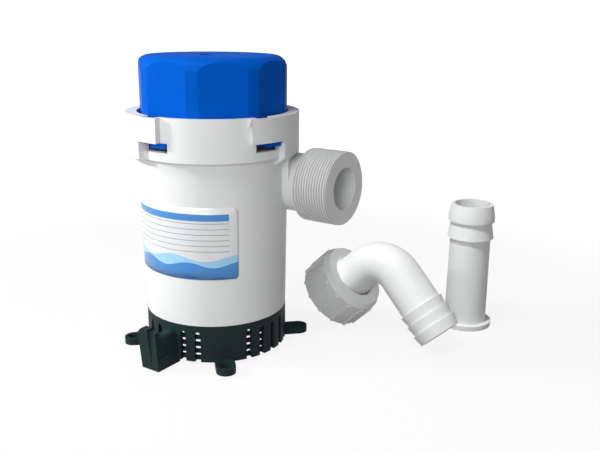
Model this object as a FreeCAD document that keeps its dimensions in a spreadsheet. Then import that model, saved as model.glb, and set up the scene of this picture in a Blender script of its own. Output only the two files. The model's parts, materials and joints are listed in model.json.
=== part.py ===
import FreeCAD, Part
import math
import os

import Sketcher

from FreeCAD import Placement, Rotation, Vector

# Cartridge bilge pump with its loose discharge fittings.  Millimetres.
# The origin is the centre of the mounting face, +Z is the pump's axis and
# +X is the way the discharge port points.

SIZES = {
    # strainer base
    "stand_off": 1.5,
    # how far a cutter runs past a face, and a solid sinks into its neighbour
    "over": 1.0,
    "bite": 0.5,
    "base_radius": 33.0,
    "base_height": 17.2,
    "base_wall": 2.1,
    "foot_high": 1.6,
    "ring_depth": 2.2,
    "ring_thick": 1.5,
    "ring_low": 4.8,
    "ring_mid": 8.1,
    "ring_high": 11.4,
    "shoulder_low": 14.6,
    "spigot_radius": 30.6,
    "spigot_wall": 2.0,
    "spigot_height": 5.6,
    "slot_half": 1.35,
    "slot_crest": 0.6,
    "slot_top": 14.2,
    "slot_pitch": 12.2,
    "slot_bite": 0.4,
    # mounting ears
    "ear_circle": 40.0,
    "ear_half": 4.4,
    "ear_thick": 3.1,
    "ear_hole": 2.7,
    "ear_angle": 45.0,
    # accessory rail
    "rail_left": -5.6,
    "rail_web_left": 0.4,
    "rail_right": 4.2,
    "rail_foot": 45.5,
    "rail_crest": 47.7,
    "rail_back_foot": 42.7,
    "rail_back_crest": 44.2,
    "rail_top": 18.4,
    "rail_corner": 2.2,
    "rail_end_crest": 46.7,
    "rail_end_top": 17.2,
    "rail_web_low": 13.4,
    "rail_web_high": 14.8,
    "rail_peak": 35.4,
    "rail_root": 31.6,
    "rail_root_high": 9.0,
    "rail_bevel": 0.9,
    "rail_rib_out": 4.9,
    "rail_rib_low": 3.2,
    "rail_rib_rise": 1.3,
    "rail_rib_thick": 1.2,
    # pump housing
    "tube_low_radius": 32.9,
    "tube_top_radius": 33.9,
    "tube_low_bore": 30.95,
    "tube_top_bore": 31.9,
    "plate_under": 23.6,
    "plate_top": 26.0,
    "eye_radius": 9.5,
    "eye_lip": 1.8,
    "collar_low": 90.6,
    "tube_top": 94.4,
    "collar_top": 109.1,
    "panel_radius": 36.1,
    "panel_bore": 34.0,
    "bulge_radius": 39.05,
    "bulge_bore": 37.65,
    "bulge_start": -23.0,
    "bulge_angle": 115.7,
    "bulge_low": 90.8,
    "bulge_root": 87.2,
    "step_slant": 1.64,
    "gusset_low": 105.2,
    "gusset_before": 3.1,
    "gusset_angle": 1.5,
    "window_top": 98.5,
    "window_one": -20.3,
    "window_one_angle": 21.5,
    "entry_angle": 12.8,
    "entry_two": 76.5,
    "window_two": 76.0,
    "window_two_angle": 22.0,
    "guide_bore": 22.4,
    "guide_half": 0.8,
    "guide_low": 40.0,
    "guide_high": 60.0,
    "guide_turn": 30.0,
    # discharge port
    "port_offset": 20.9,
    "port_height": 76.2,
    "port_face": 57.65,
    "thread_radius": 16.62,
    "thread_back": 40.3,
    "neck_radius": 13.45,
    "pad_face": 36.4,
    "pad_far_x": 32.4,
    "pad_far_y": 18.6,
    "port_bore": 9.5,
    "port_step": 29.65,
    "port_throat": 8.9,
    "port_inner": 12.0,
    # cartridge cap
    "cap_radius": 33.5,
    "cap_flat": 31.9,
    "cap_flat_half": 13.21,
    "cap_turn": -41.6,
    "cap_edge": 133.3,
    "cap_crown": 134.2,
    "cap_round": 5.8,
    "cap_wall": 2.3,
    "cap_roof": 131.4,
    "flange_radius": 33.6,
    "flange_low": 96.4,
    "flange_top": 98.3,
    "lug_radius": 37.3,
    "lug_one": -11.3,
    "lug_two": 85.5,
    "lug_angle": 12.0,
    "plug_radius": 31.4,
    "plug_wall": 2.4,
    "plug_low": 89.0,
    "seal_ring_radius": 32.6,
    "seal_cord": 0.95,
    "gland_x": 5.9,
    "gland_y": -9.5,
    "gland_hole": 3.6,
    "gland_bore": 2.0,
    "gland_lip": 1.2,
    "gland_flange": 4.9,
    "gland_top": 133.6,
    # motor casing
    "casing_radius": 22.0,
    "casing_bore": 19.6,
    "casing_low": 38.0,
    "casing_floor": 41.0,
    "casing_shelf": 46.0,
    "casing_cone": 84.0,
    "casing_neck_top": 94.0,
    "casing_step": 2.6,
    "seal_pocket": 6.0,
    "seal_boss": 3.6,
    "seal_boss_wall": 3.0,
    "seal_top": 1.6,
    "lip_gap": 0.06,
    "lip_thick": 1.2,
    "shaft_clear": 2.6,
    # motor
    "can_radius": 19.5,
    "can_wall": 1.4,
    "can_low": 46.0,
    "can_top": 104.0,
    "bush_radius": 4.5,
    "bush_length": 5.0,
    "shaft_radius": 2.0,
    "shaft_gap": 0.03,
    "shaft_low": 27.4,
    "shaft_top": 106.6,
    "magnet_bore": 14.3,
    "magnet_low": 56.0,
    "magnet_high": 92.0,
    "magnet_half": 64.0,
    "core_radius": 13.8,
    "core_low": 60.0,
    "core_high": 88.0,
    "core_slot_half": 2.6,
    "core_slot_root": 6.6,
    "core_slot_out": 12.6,
    "core_gap_half": 0.9,
    "coil_half": 2.4,
    "coil_in": 7.0,
    "coil_out": 12.6,
    "coil_over": 4.0,
    "commutator_radius": 6.2,
    "commutator_low": 93.5,
    "slit_turn": 36.0,
    "slit_count": 5,
    "commutator_high": 100.5,
    "bell_top": 105.4,
    "bell_boss_top": 107.0,
    "bell_boss": 7.5,
    "tower_radius": 18.4,
    "tower_wall": 2.0,
    "bell_step": 101.6,
    "brush_half": 2.0,
    "brush_out": 11.8,
    "tab_top": 111.0,
    "brush_low": 94.6,
    "brush_high": 99.4,
    "arm_thick": 0.5,
    # impeller
    "impeller_radius": 19.0,
    "shroud_low": 33.6,
    "shroud_top": 35.4,
    "vane_low": 27.0,
    "vane_thick": 1.5,
    "vane_from": 258.0,
    "vane_to": 336.0,
    "vane_count": 5,
    "vane_x": 8.0,
    "vane_y": 7.6,
    "vane_curve": 11.0,
    "hub_radius": 5.0,
    "hub_low": 28.4,
    "hub_top": 37.0,
    "clip_radius": 4.0,
    "clip_thick": 0.6,
    # hose tails and union nut
    "tail_radius": 10.3,
    "tail_neck": 9.9,
    "tail_bore": 8.6,
    "barb_radius": 11.3,
    "tail_flange": 13.0,
    "tail_flange_thick": 2.4,
    "tail_length": 63.0,
    "tail_mouth_radius": 10.2,
    "barb_step": 8.4,
    "barb_land": 2.5,
    "elbow_run": 28.6,
    "elbow_drop": 47.5,
    "elbow_bend": 14.0,
    "elbow_flange": 15.6,
    "elbow_barb_step": 5.2,
    "nut_radius": 17.9,
    "nut_rib": 18.6,
    "nut_rib_half": 0.75,
    "nut_ribs": 14,
    "nut_turn": 4.70,
    "nut_bore": 16.8,
    "nut_hole": 11.5,
    "nut_low": -11.5,
    "nut_rib_top": 2.6,
    "nut_shoulder": 2.9,
    "nut_top": 6.4,
    "nut_face_radius": 16.4,
    "gasket_thick": 1.8,
    "gasket_in": 1.2,
    # label
    "label_thick": 0.15,
    "label_low": 39.2,
    "label_high": 71.4,
    "label_low_radius": 33.21,
    "label_high_radius": 33.65,
    "label_start": -148.0,
    "label_angle": 115.0,
}

doc = FreeCAD.newDocument("BilgePump")
sheet = doc.addObject("Spreadsheet::Sheet", "Sizes")
for row, (alias, number) in enumerate(SIZES.items(), start=1):
    sheet.set(f"A{row}", alias)
    sheet.set(f"B{row}", str(number))
    sheet.setAlias(f"B{row}", alias)
doc.recompute()


def value(text):
    """Number that a sum such as "base_height + spigot_height" stands for."""
    total, sign = 0.0, 1.0
    for word in text.split():
        if word in ("+", "-"):
            sign = 1.0 if word == "+" else -1.0
        else:
            total += sign * (SIZES[word] if word in SIZES else float(word))
    return total


def formula(text):
    """The same sum as an expression on the cells of the sheet."""
    return " ".join("Sizes." + word if word in SIZES else word for word in text.split())


def bind(thing, prop, text):
    thing.setExpression(prop, formula(text))


def new_body(label):
    body = doc.addObject("PartDesign::Body", label)
    body.Label = label
    return body


def datum(body, role):
    return next(item for item in body.Origin.OriginFeatures if item.Role == role)


def sketch_on(body, name, plane, turn=None, lift=None):
    """Sketch on an origin plane, turned about the pump's axis or moved off the plane."""
    drawing = body.newObject("Sketcher::SketchObject", name)
    drawing.AttachmentSupport = [(datum(body, plane), "")]
    drawing.MapMode = "FlatFace"
    if turn is not None:
        axis = Vector(0, 0, 1) if plane == "XY_Plane" else Vector(0, 1, 0)
        drawing.AttachmentOffset = Placement(Vector(), Rotation(axis, value(turn)))
        bind(drawing, ".AttachmentOffset.Rotation.Angle", turn)
    if lift is not None:
        bind(drawing, ".AttachmentOffset.Base.z", lift)
    return drawing


def sketch_facing(body, name, turn, out):
    """Upright sketch that faces the pump's axis from outside, at a distance."""
    drawing = sketch_on(body, name, "YZ_Plane", turn=turn)
    angle = f"(({formula(turn)}) * 1deg)"
    drawing.setExpression(".AttachmentOffset.Base.x", f"({formula(out)}) * sin{angle}")
    drawing.setExpression(".AttachmentOffset.Base.z", f"({formula(out)}) * cos{angle}")
    return drawing


def pin_point(drawing, geo, pos, x, y):
    """Dimension one point from the sketch's origin, bound to the sheet."""
    for kind, axis, text in (("DistanceX", -2, x), ("DistanceY", -1, y)):
        if value(text) == 0:
            drawing.addConstraint(Sketcher.Constraint("PointOnObject", geo, pos, axis))
        else:
            number = drawing.addConstraint(
                Sketcher.Constraint(kind, -1, 1, geo, pos, value(text)))
            bind(drawing, f"Constraints[{number}]", text)


def draw_polygon(drawing, points):
    spots = [Vector(value(x), value(y), 0) for x, y in points]
    first = drawing.GeometryCount
    count = len(spots)
    for index in range(count):
        drawing.addGeometry(Part.LineSegment(spots[index], spots[(index + 1) % count]), False)
    for index in range(count):
        drawing.addConstraint(Sketcher.Constraint(
            "Coincident", first + index, 2, first + (index + 1) % count, 1))
    for index, (x, y) in enumerate(points):
        pin_point(drawing, first + index, 1, x, y)


def draw_box(drawing, left, right, low, high):
    draw_polygon(drawing, [(left, low), (right, low), (right, high), (left, high)])


def draw_circle(drawing, x, y, radius):
    geo = drawing.addGeometry(
        Part.Circle(Vector(value(x), value(y), 0), Vector(0, 0, 1), value(radius)), False)
    number = drawing.addConstraint(Sketcher.Constraint("Radius", geo, value(radius)))
    bind(drawing, f"Constraints[{number}]", radius)
    pin_point(drawing, geo, 3, x, y)


def draw_arc_band(drawing, x, y, inner, outer, start, end):
    """Curved strip between two arcs about one centre, given in degrees."""
    centre = Vector(value(x), value(y), 0)
    arcs = []
    for radius in (inner, outer):
        circle = Part.Circle(centre, Vector(0, 0, 1), value(radius))
        arcs.append(drawing.addGeometry(
            Part.ArcOfCircle(circle, math.radians(start), math.radians(end)), False))
        number = drawing.addConstraint(
            Sketcher.Constraint("Radius", arcs[-1], value(radius)))
        bind(drawing, f"Constraints[{number}]", radius)
    pin_point(drawing, arcs[0], 3, x, y)
    drawing.addConstraint(Sketcher.Constraint("Coincident", arcs[0], 3, arcs[1], 3))
    for end_point in (1, 2):
        line = drawing.addGeometry(Part.LineSegment(
            drawing.getPoint(arcs[0], end_point), drawing.getPoint(arcs[1], end_point)), False)
        drawing.addConstraint(Sketcher.Constraint("Coincident", line, 1, arcs[0], end_point))
        drawing.addConstraint(Sketcher.Constraint("Coincident", line, 2, arcs[1], end_point))


def lathe(body, name, points, start=None, angle=None, cut=False):
    """Turn a profile of (radius, height) points about the pump's axis."""
    drawing = sketch_on(body, name + "_profile", "XZ_Plane", turn=start)
    draw_polygon(drawing, points)
    kind = "PartDesign::Groove" if cut else "PartDesign::Revolution"
    feature = body.newObject(kind, name)
    feature.Profile = drawing
    feature.ReferenceAxis = (drawing, ["V_Axis"])
    feature.Angle = 360.0
    if angle is not None:
        feature.Angle = value(angle)
        bind(feature, "Angle", angle)
    drawing.Visibility = False
    body.Tip = feature
    return feature


def extrude(body, name, drawing, length, cut=False, middle=False, reverse=False):
    feature = body.newObject("PartDesign::Pocket" if cut else "PartDesign::Pad", name)
    feature.Profile = drawing
    feature.Length = value(length)
    bind(feature, "Length", length)
    feature.Midplane = middle
    feature.Reversed = reverse
    drawing.Visibility = False
    body.Tip = feature
    return feature


def around(body, name, features, count, angle=360.0):
    """Repeat features about the body's own Z axis."""
    pattern = body.newObject("PartDesign::PolarPattern", name)
    pattern.Originals = features
    pattern.Axis = (datum(body, "Z_Axis"), [""])
    pattern.Angle = angle
    pattern.Occurrences = count
    body.Tip = pattern
    return pattern


def round_edges(body, name, picks, radius, kind="PartDesign::Fillet"):
    """Fillet or chamfer the edges of the tip whose middle point passes a test."""
    doc.recompute()
    base = body.Tip
    edges = []
    for index, edge in enumerate(base.Shape.Edges, start=1):
        low, high = edge.ParameterRange
        if picks(edge, edge.valueAt((low + high) / 2)):
            edges.append(f"Edge{index}")
    feature = body.newObject(kind, name)
    feature.Base = (base, edges)
    if kind == "PartDesign::Fillet":
        feature.Radius = value(radius)
        bind(feature, "Radius", radius)
    else:
        feature.Size = value(radius)
        bind(feature, "Size", radius)
    body.Tip = feature
    return feature


# ---------------------------------------------------------------- strainer base
# A moulded basket.  Its wall is cut by upright slots from outside and carries
# rings on its inside, so water enters through a grid of small square holes.

base = new_body("strainer_base")
inner = "base_radius - base_wall"
shelf = "base_radius - base_wall - ring_depth"
lathe(base, "basket", [
    (shelf, "0"),
    ("base_radius", "0"),
    ("base_radius", "base_height"),
    ("spigot_radius", "base_height"),
    ("spigot_radius", "base_height + spigot_height"),
    ("spigot_radius - spigot_wall", "base_height + spigot_height"),
    ("spigot_radius - spigot_wall", "shoulder_low"),
    (inner, "shoulder_low"),
    (inner, "ring_high"),
    (shelf, "ring_high"),
    (shelf, "ring_high - ring_thick"),
    (inner, "ring_high - ring_thick"),
    (inner, "ring_mid"),
    (shelf, "ring_mid"),
    (shelf, "ring_mid - ring_thick"),
    (inner, "ring_mid - ring_thick"),
    (inner, "ring_low"),
    (shelf, "ring_low"),
    (shelf, "ring_low - ring_thick"),
    (inner, "ring_low - ring_thick"),
    (inner, "foot_high"),
    (shelf, "foot_high"),
])


def cut_slot(name, turn):
    """Upright slot with a narrowed top, open at the basket's rim."""
    drawing = sketch_facing(base, name + "_profile", turn, "base_radius + over")
    draw_polygon(drawing, [
        ("- slot_half", "- over"),
        ("slot_half", "- over"),
        ("slot_half", "slot_top - slot_half"),
        ("slot_crest", "slot_top"),
        ("- slot_crest", "slot_top"),
        ("- slot_half", "slot_top - slot_half"),
    ])
    return extrude(base, name, drawing, "base_wall + over + slot_bite", cut=True)


# The quadrant at -Y has the rail where its middle slot would be.
for number, turn in enumerate(("0", "90", "180"), start=1):
    cut_slot(f"middle_slot_{number}", turn)
beside = [cut_slot("far_slot_low", "0 - slot_pitch - slot_pitch"),
          cut_slot("near_slot_low", "0 - slot_pitch"),
          cut_slot("near_slot_high", "slot_pitch"),
          cut_slot("far_slot_high", "slot_pitch + slot_pitch")]
around(base, "slots_beside", beside, 4)

# The ears reach down past the basket's rim, so water also enters under it.
drawing = sketch_on(base, "ear_plan", "XY_Plane", turn="ear_angle", lift="- stand_off")
draw_box(drawing, "base_radius - over", "ear_circle", "- ear_half", "ear_half")
ear = extrude(base, "ear", drawing, "ear_thick")
drawing = sketch_on(base, "ear_end_plan", "XY_Plane", turn="ear_angle", lift="- stand_off")
draw_circle(drawing, "ear_circle", "0", "ear_half")
ear_end = extrude(base, "ear_end", drawing, "ear_thick")
drawing = sketch_on(base, "ear_hole_plan", "XY_Plane", turn="ear_angle", lift="- stand_off")
draw_circle(drawing, "ear_circle", "0", "ear_hole")
ear_hole = extrude(base, "ear_hole_cut", drawing, "ear_thick", cut=True, reverse=True)
around(base, "ears", [ear, ear_end, ear_hole], 4)

# The rail is an angle: a plate that leans outward, on a web that ends short of
# the wall at the top.  A float switch slides down behind the plate.
drawing = sketch_on(base, "rail_plate_side", "YZ_Plane", lift="rail_left")
draw_polygon(drawing, [
    ("- rail_foot", "- stand_off"),
    ("- rail_back_foot", "- stand_off"),
    ("- rail_back_crest", "rail_top"),
    ("- rail_crest", "rail_top"),
])
extrude(base, "rail_plate", drawing, "rail_web_left - rail_left")
drawing = sketch_on(base, "rail_web_side", "YZ_Plane", lift="rail_web_left - bite")
draw_polygon(drawing, [
    ("- rail_foot", "- stand_off"),
    ("- rail_root", "- stand_off"),
    ("- rail_root", "rail_root_high"),
    ("- rail_peak", "rail_web_high"),
    ("- rail_back_crest", "rail_web_low"),
    ("- rail_back_crest", "rail_end_top"),
    ("- rail_end_crest", "rail_end_top"),
])
extrude(base, "rail_web", drawing, "rail_right + bite - rail_web_left")
drawing = sketch_on(base, "rail_rib_side", "YZ_Plane", lift="rail_right - bite")
draw_polygon(drawing, [
    ("- rail_back_crest", "rail_rib_low"),
    ("- rail_peak", "rail_rib_low + rail_rib_rise"),
    ("- rail_peak", "rail_rib_low + rail_rib_rise + rail_rib_thick"),
    ("- rail_back_crest", "rail_rib_low + rail_rib_thick"),
])
extrude(base, "rail_rib", drawing, "rail_rib_out + bite - rail_right")
drawing = sketch_on(base, "rail_corner_front", "XZ_Plane", lift="rail_crest + over")
draw_polygon(drawing, [
    ("rail_left - over", "rail_top - rail_corner"),
    ("rail_left", "rail_top - rail_corner"),
    ("rail_left + rail_corner", "rail_top"),
    ("rail_left + rail_corner", "rail_top + over"),
    ("rail_left - over", "rail_top + over"),
])
extrude(base, "rail_corner_cut", drawing, "rail_crest + 2 - rail_back_foot", cut=True)
round_edges(base, "rail_web_bevel",
            lambda edge, mid: (abs(mid.x - value("rail_right")) < 0.01
                               and abs(mid.y + value("rail_peak + rail_back_crest") / 2) < 0.01
                               and mid.z > value("rail_web_low")),
            "rail_bevel", kind="PartDesign::Chamfer")

# ---------------------------------------------------------------- pump housing
# One moulding: the tube, the stepped collar with its four bayonet windows, and
# the discharge branch, which leaves the tube on a tangent.

housing = new_body("pump_housing")
lathe(housing, "tube", [
    ("0", "base_height"),
    ("tube_low_radius", "base_height"),
    ("tube_top_radius", "collar_low"),
    ("panel_radius", "collar_low"),
    ("panel_radius", "collar_top"),
    ("0", "collar_top"),
])
# Each bulge starts at a step beside a window and ends at the next window's far
# side.  Below the windows' tops it runs only from jamb to jamb, on a cone.
bulge = lathe(housing, "bulge", [
    ("panel_radius - over", "window_top"),
    ("bulge_radius", "window_top"),
    ("bulge_radius", "collar_top"),
    ("panel_radius - over", "collar_top"),
], start="bulge_start", angle="bulge_angle")
cheek = lathe(housing, "bulge_cheek", [
    ("tube_top_bore + over", "bulge_root"),
    ("tube_top_radius - 0.1", "bulge_root"),
    ("bulge_radius", "bulge_low"),
    ("bulge_radius", "window_top + bite"),
    ("tube_top_bore + over", "window_top + bite"),
], start="window_one + window_one_angle", angle="window_two - window_one - window_one_angle")
drawing = sketch_on(housing, "step_plan", "XY_Plane", turn="bulge_start", lift="window_top")
draw_polygon(drawing, [
    ("panel_radius - bite", "0"),
    ("bulge_radius", "0"),
    ("bulge_radius - 0.04", "- step_slant"),
])
step = extrude(housing, "step_slant_pad", drawing, "collar_top - window_top")
gusset = lathe(housing, "gusset", [
    ("panel_radius - over", "gusset_low - over"),
    ("panel_radius", "gusset_low"),
    ("bulge_radius", "collar_top"),
    ("panel_radius - over", "collar_top"),
], start="bulge_start - gusset_before", angle="gusset_angle")
around(housing, "bulges", [bulge, cheek, step, gusset], 2)

drawing = sketch_on(housing, "pad_plan", "XY_Plane", lift="port_height")
draw_polygon(drawing, [
    ("port_inner", "port_offset - neck_radius"),
    ("pad_face", "port_offset - neck_radius"),
    ("pad_far_x", "pad_far_y"),
    ("port_inner", "pad_far_y"),
])
extrude(housing, "branch_pad", drawing, "collar_low + over - port_height")
drawing = sketch_on(housing, "neck_end", "YZ_Plane")
draw_circle(drawing, "port_offset", "port_height", "neck_radius")
extrude(housing, "branch_neck", drawing, "thread_back + over")
drawing = sketch_on(housing, "thread_end", "YZ_Plane", lift="port_face")
draw_circle(drawing, "port_offset", "port_height", "thread_radius")
extrude(housing, "branch_thread", drawing, "port_face - thread_back", reverse=True)

lathe(housing, "skirt_bore", [
    ("0", "base_height - over"),
    ("tube_low_bore", "base_height - over"),
    ("tube_low_bore", "plate_under"),
    ("0", "plate_under"),
], cut=True)
lathe(housing, "chamber", [
    ("0", "plate_top"),
    ("tube_low_bore", "plate_top"),
    ("tube_top_bore", "tube_top"),
    ("panel_bore", "tube_top"),
    ("panel_bore", "collar_top + over"),
    ("0", "collar_top + over"),
], cut=True)
lathe(housing, "eye_ring", [
    ("eye_radius - over", "plate_under - eye_lip"),
    ("eye_radius + eye_lip", "plate_under - eye_lip"),
    ("eye_radius + eye_lip", "plate_under + over"),
    ("eye_radius - over", "plate_under + over"),
])
lathe(housing, "eye", [
    ("0", "plate_under - eye_lip - over"),
    ("eye_radius", "plate_under - eye_lip - over"),
    ("eye_radius", "plate_top + over"),
    ("0", "plate_top + over"),
], cut=True)

# Bayonet: two windows, each repeated across the axis but not evenly spaced, so
# the cartridge goes in only two ways round.  Above each window an open channel
# lets the lug come down, and the rest of the rim is the ledge that holds it.
entries = []
for name, start in (("entry_one", "window_one"), ("entry_two", "entry_two")):
    entries.append(lathe(housing, name + "_channel", [
        ("panel_bore - over", "tube_top"),
        ("bulge_bore", "tube_top"),
        ("bulge_bore", "collar_top + over"),
        ("panel_bore - over", "collar_top + over"),
    ], start=start, angle="entry_angle", cut=True))
window_cuts = []
for name in ("window_one", "window_two"):
    window_cuts.append(lathe(housing, name + "_cut", [
        ("panel_bore - over", "tube_top"),
        ("bulge_radius + over", "tube_top"),
        ("bulge_radius + over", "window_top"),
        ("panel_bore - over", "window_top"),
    ], start=name, angle=name + "_angle", cut=True))
around(housing, "bayonet", entries + window_cuts, 2)

drawing = sketch_on(housing, "bore_end", "YZ_Plane", lift="port_face")
draw_circle(drawing, "port_offset", "port_height", "port_bore")
extrude(housing, "port_bore_cut", drawing, "port_face - port_step", cut=True)
drawing = sketch_on(housing, "throat_end", "YZ_Plane", lift="port_step + over")
draw_circle(drawing, "port_offset", "port_height", "port_throat")
extrude(housing, "port_throat_cut", drawing, "port_step + over - port_inner", cut=True)
drawing = sketch_on(housing, "guide_plan", "XY_Plane", lift="guide_low", turn="guide_turn")
draw_box(drawing, "guide_bore", "tube_low_bore + over", "- guide_half", "guide_half")
guide = extrude(housing, "guide", drawing, "guide_high - guide_low")
around(housing, "guides", [guide], 6)

# ---------------------------------------------------------------- rating label
label = new_body("rating_label")
lathe(label, "skin", [
    ("label_low_radius", "label_low"),
    ("label_low_radius + label_thick", "label_low"),
    ("label_high_radius + label_thick", "label_high"),
    ("label_high_radius", "label_high"),
], start="label_start", angle="label_angle")

# --------------------------------------------------------------- cartridge cap
# The blue grip: a turned dome with eight flats cut down to the flange.

cap = new_body("cartridge_cap")
lathe(cap, "dome", [
    ("0", "flange_low"),
    ("flange_radius", "flange_low"),
    ("flange_radius", "flange_top"),
    ("cap_radius", "flange_top"),
    ("cap_radius", "cap_edge"),
    ("0", "cap_crown"),
])
round_edges(cap, "dome_round",
            lambda edge, mid: abs(mid.z - value("cap_edge")) < 0.01, "cap_round")
drawing = sketch_on(cap, "flats_plan", "XY_Plane", turn="cap_turn", lift="cap_crown + over")
draw_circle(drawing, "0", "0", "cap_radius + 5")
flat, half = "cap_flat", "cap_flat_half"
draw_polygon(drawing, [
    (flat, half), (half, flat), ("- " + half, flat), ("- " + flat, half),
    ("- " + flat, "- " + half), ("- " + half, "- " + flat), (half, "- " + flat),
    (flat, "- " + half),
])
extrude(cap, "flats", drawing, "cap_crown + over - flange_top", cut=True)
lugs = []
for name in ("lug_one", "lug_two"):
    lugs.append(lathe(cap, name + "_arc", [
        ("flange_radius - over", "flange_low"),
        ("lug_radius", "flange_low"),
        ("lug_radius", "flange_top"),
        ("flange_radius - over", "flange_top"),
    ], start=name, angle="lug_angle"))
around(cap, "lugs", lugs, 2)
lathe(cap, "plug", [
    ("plug_radius - plug_wall", "plug_low"),
    ("plug_radius", "plug_low"),
    ("plug_radius", "flange_low + over"),
    ("plug_radius - plug_wall", "flange_low + over"),
])
lathe(cap, "hollow", [
    ("0", "flange_low - over"),
    ("plug_radius - plug_wall", "flange_low - over"),
    ("plug_radius - plug_wall", "flange_top"),
    ("cap_flat - cap_wall", "flange_top + over"),
    ("cap_flat - cap_wall", "cap_roof - 4"),
    ("cap_flat - cap_wall - 4", "cap_roof"),
    ("0", "cap_roof"),
], cut=True)
lathe(cap, "tower", [
    ("tower_radius - tower_wall", "bell_top"),
    ("tower_radius", "bell_top"),
    ("tower_radius", "cap_roof + bite"),
    ("tower_radius - tower_wall", "cap_roof + bite"),
])
drawing = sketch_on(cap, "gland_hole_plan", "XY_Plane", lift="cap_crown + over")
draw_circle(drawing, "gland_x", "gland_y", "gland_hole")
extrude(cap, "gland_hole_cut", drawing, "cap_crown + 1.5 - cap_roof", cut=True)

seal = doc.addObject("Part::Torus", "cartridge_o_ring")
seal.Label = "cartridge_o_ring"
bind(seal, "Radius1", "seal_ring_radius")
bind(seal, "Radius2", "seal_cord")
bind(seal, ".Placement.Base.z", "stand_off + flange_low - seal_cord")

gland = new_body("cable_gland")
lathe(gland, "grommet", [
    ("gland_bore", "cap_roof - gland_lip"),
    ("gland_flange", "cap_roof - gland_lip"),
    ("gland_flange", "cap_roof"),
    ("gland_hole", "cap_roof"),
    ("gland_hole", "gland_top"),
    ("gland_bore", "gland_top"),
])
bind(gland, ".Placement.Base.x", "gland_x")
bind(gland, ".Placement.Base.y", "gland_y")

# ----------------------------------------------------- sealed motor in its cup
casing = new_body("motor_casing")
lathe(casing, "cup", [
    ("seal_pocket", "casing_low"),
    ("casing_radius", "casing_low"),
    ("casing_radius", "casing_cone"),
    ("plug_radius - plug_wall", "plug_low + over"),
    ("plug_radius - plug_wall", "casing_neck_top"),
    ("plug_radius - plug_wall - 2", "casing_neck_top"),
    ("plug_radius - plug_wall - 2", "plug_low + 1.5"),
    ("casing_bore", "casing_cone + over"),
    ("casing_bore", "casing_shelf"),
    ("casing_bore - casing_step", "casing_shelf"),
    ("casing_bore - casing_step", "casing_floor"),
    ("seal_pocket + seal_boss_wall", "casing_floor"),
    ("seal_pocket + seal_boss_wall", "casing_floor + seal_boss"),
    ("shaft_clear", "casing_floor + seal_boss"),
    ("shaft_clear", "casing_floor + seal_top"),
    ("seal_pocket", "casing_floor + seal_top"),
])

lip_seal = new_body("shaft_seal")
lathe(lip_seal, "lip", [
    ("shaft_radius + lip_gap", "casing_low + 1.6"),
    ("shaft_radius + lip_thick", "casing_low + bite"),
    ("seal_pocket", "casing_low + bite"),
    ("seal_pocket", "casing_floor + seal_top"),
    ("shaft_radius + lip_thick", "casing_floor + seal_top"),
    ("shaft_radius + lip_thick", "casing_low + 3"),
    ("shaft_radius + lip_gap", "casing_low + 2.2"),
])

can = new_body("motor_can")
lathe(can, "drawn_cup", [
    ("bush_radius", "can_low"),
    ("can_radius", "can_low"),
    ("can_radius", "can_top"),
    ("can_radius - can_wall", "can_top"),
    ("can_radius - can_wall", "can_low + can_wall"),
    ("bush_radius + can_wall", "can_low + can_wall"),
    ("bush_radius + can_wall", "can_low + bush_length"),
    ("bush_radius", "can_low + bush_length"),
])
for name, low in (("lower_bush", "can_low"), ("upper_bush", "bell_boss_top - bush_length")):
    bush = new_body(name)
    lathe(bush, name + "_ring", [
        ("shaft_radius + shaft_gap", low),
        ("bush_radius", low),
        ("bush_radius", low + " + bush_length"),
        ("shaft_radius + shaft_gap", low + " + bush_length"),
    ])
for name, start in (("magnet_north", "0 - magnet_half"),
                    ("magnet_south", "180 - magnet_half")):
    magnet = new_body(name)
    lathe(magnet, name + "_arc", [
        ("magnet_bore", "magnet_low"),
        ("can_radius - can_wall", "magnet_low"),
        ("can_radius - can_wall", "magnet_high"),
        ("magnet_bore", "magnet_high"),
    ], start=start, angle="magnet_half + magnet_half")

bell = new_body("brush_end_bell")
lathe(bell, "bell", [
    ("bush_radius", "bell_step"),
    ("can_radius - can_wall", "bell_step"),
    ("can_radius - can_wall", "can_top"),
    ("can_radius", "can_top"),
    ("can_radius", "bell_top"),
    ("bell_boss", "bell_top"),
    ("bell_boss", "bell_boss_top"),
    ("bush_radius", "bell_boss_top"),
])
drawing = sketch_on(bell, "tab_slot_plan", "XY_Plane", lift="bell_top + over")
draw_box(drawing, "- brush_half", "brush_half", "brush_out", "brush_out + arm_thick")
tab_slot = extrude(bell, "tab_slot", drawing, "bell_top + 2 - bell_step", cut=True)
around(bell, "tab_slots", [tab_slot], 2)
for name, turn in (("brush_one", "0"), ("brush_two", "180")):
    brush = new_body(name)
    drawing = sketch_on(brush, name + "_plan", "XY_Plane", turn=turn, lift="brush_low")
    draw_box(drawing, "- brush_half", "brush_half", "commutator_radius + 0.05", "brush_out")
    extrude(brush, name + "_block", drawing, "brush_high - brush_low")
    arm = new_body(name.replace("brush", "brush_arm"))
    drawing = sketch_on(arm, name + "_arm_plan", "XY_Plane", turn=turn, lift="brush_low")
    draw_box(drawing, "- brush_half", "brush_half", "brush_out", "brush_out + arm_thick")
    extrude(arm, name + "_leaf", drawing, "tab_top - brush_low")

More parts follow.
